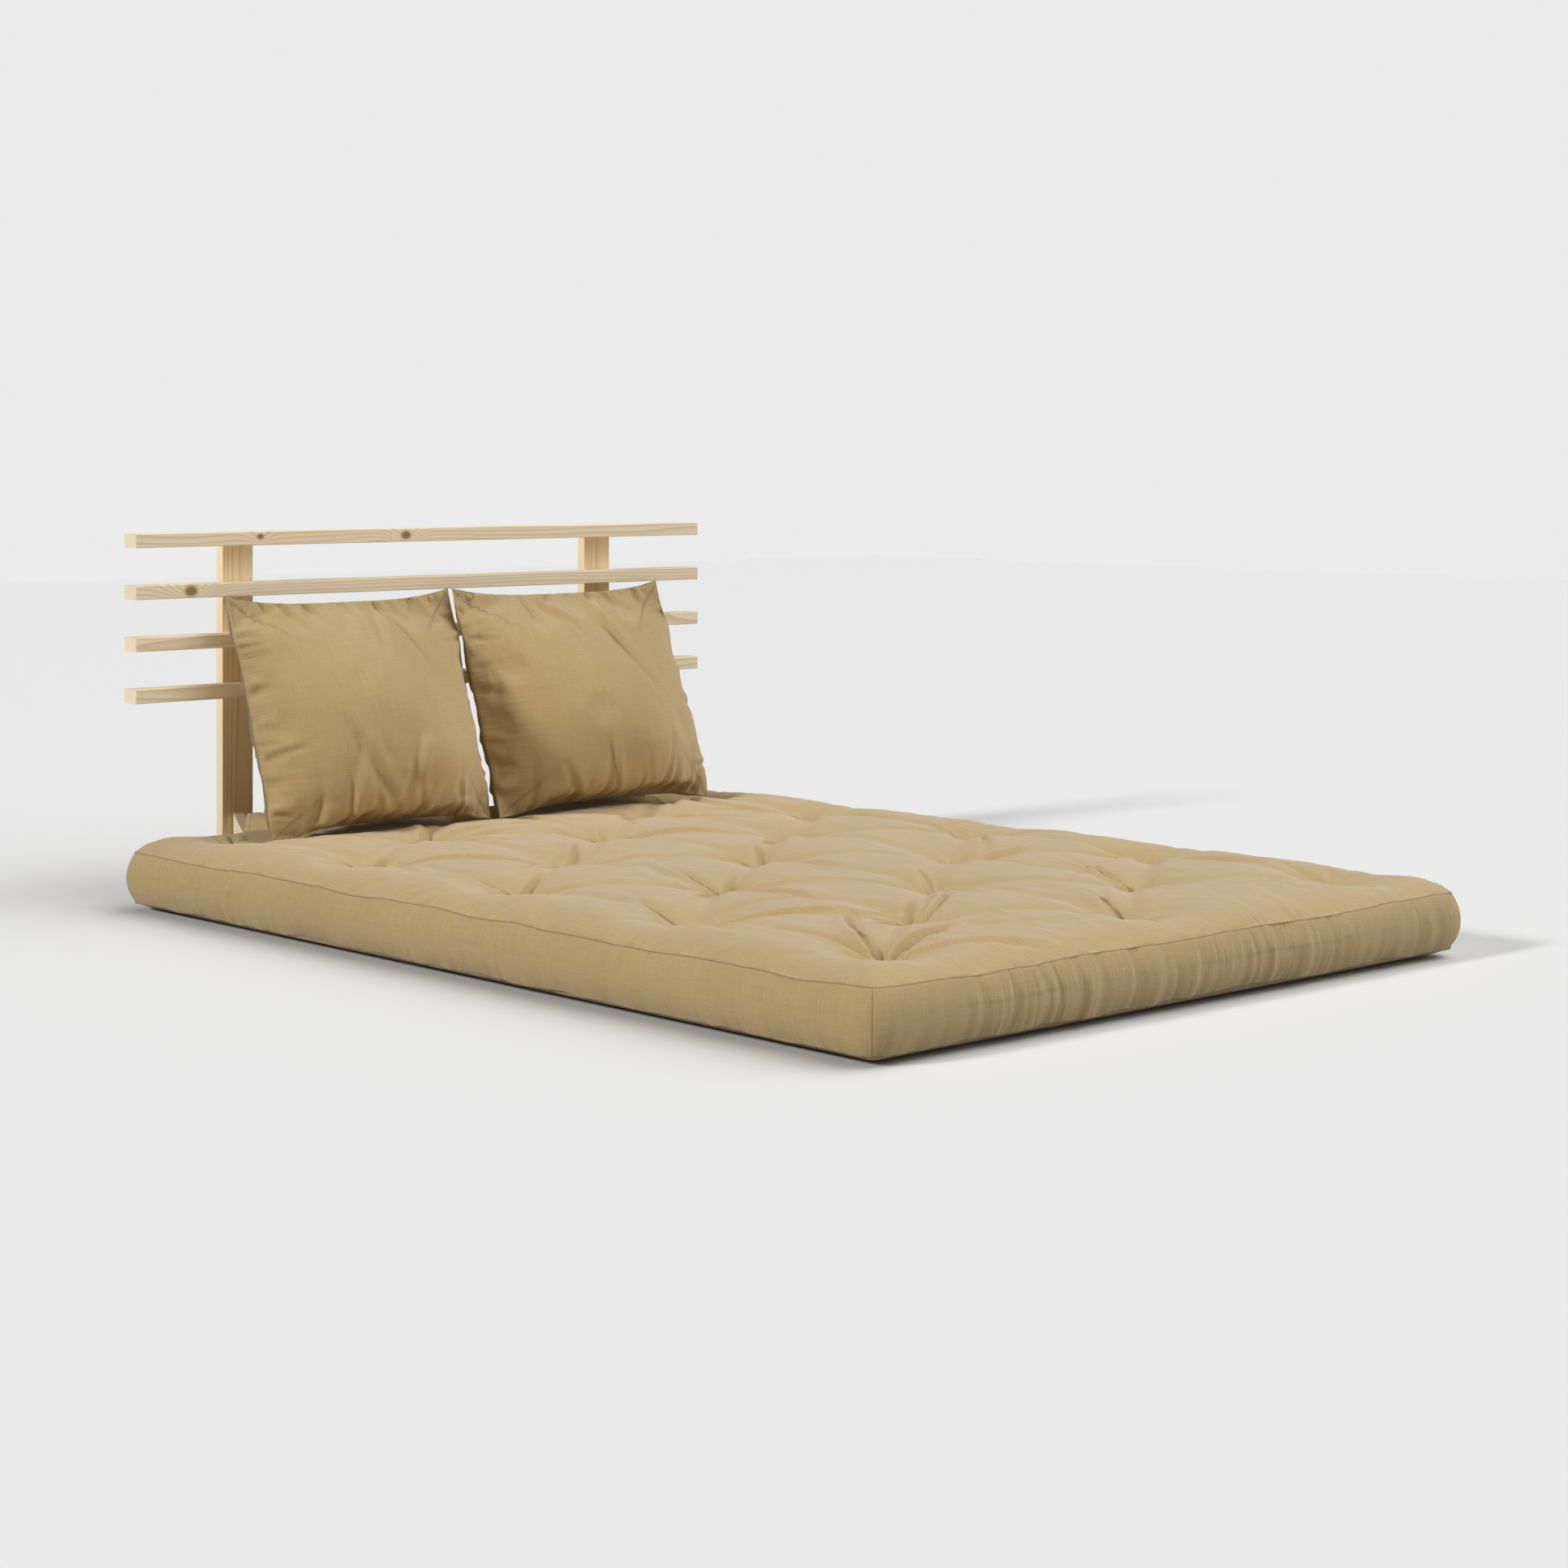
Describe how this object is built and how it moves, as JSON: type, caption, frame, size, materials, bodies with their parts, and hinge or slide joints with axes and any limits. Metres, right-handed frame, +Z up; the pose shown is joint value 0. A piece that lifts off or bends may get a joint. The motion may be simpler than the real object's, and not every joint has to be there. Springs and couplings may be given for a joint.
{
  "type": "futon sofa bed",
  "caption": "Double floor futon that folds in half into a sofa seat, with loose back cushions and a low slatted pine backrest on flat feet.",
  "frame": {"origin": "middle of the base of the whole object's box, on the floor, in the bed position", "axes": "+X to the right as seen from the foot end, +Y from the foot end to the backrest, +Z up"},
  "size_m": [1.452, 2.1, 0.7],
  "materials": {
    "pine": "satin",
    "screw_steel": "satin",
    "canvas": "matte",
    "cotton": "matte",
    "foam": "matte",
    "tie_thread": "matte",
    "cushion_fibre": "matte"
  },
  "bodies": {
    "backrest_and_rear_half": {"slat_1": "pine", "slat_2": "pine", "slat_3": "pine", "slat_4": "pine", "post_left": "pine", "post_right": "pine", "foot_left": "pine", "foot_right": "pine", "brace_left": "pine", "brace_right": "pine", "slat_screws": "screw_steel", "foot_screws": "screw_steel", "brace_screws": "screw_steel", "mattress_cover_rear": "canvas", "cotton_top_rear": "cotton", "foam_core_rear": "foam", "cotton_bottom_rear": "cotton", "tuft_ties_rear": "tie_thread"},
    "front_half": {"mattress_cover_front": "canvas", "cotton_top_front": "cotton", "foam_core_front": "foam", "cotton_bottom_front": "cotton", "tuft_ties_front": "tie_thread"},
    "cushion_left": {"cushion_cover_left": "canvas", "cushion_filling_left": "cushion_fibre"},
    "cushion_right": {"cushion_cover_right": "canvas", "cushion_filling_right": "cushion_fibre"}
  },
  "joints": [
    {"name": "mattress_fold", "type": "hinge", "parent": "backrest_and_rear_half", "child": "front_half", "pos_m": [-0.016, -0.04, 0.141], "axis": [-1, 0, 0], "range_deg": [0, 179.9], "deforming": ["cushion_cover_left", "cushion_filling_left", "cushion_cover_right", "cushion_filling_right"]},
    {"name": "cushion_left_lift", "type": "slide", "parent": "backrest_and_rear_half", "child": "cushion_left", "axis": [0, 0, 1], "range_m": [0, 0.162]},
    {"name": "cushion_right_lift", "type": "slide", "parent": "backrest_and_rear_half", "child": "cushion_right", "axis": [0, 0, 1], "range_m": [0, 0.162]}
  ],
  "couplings": [
    {"joint": "cushion_left_lift", "follows": "mattress_fold", "m_per_rad": 0.0515},
    {"joint": "cushion_right_lift", "follows": "mattress_fold", "m_per_rad": 0.0515}
  ]
}
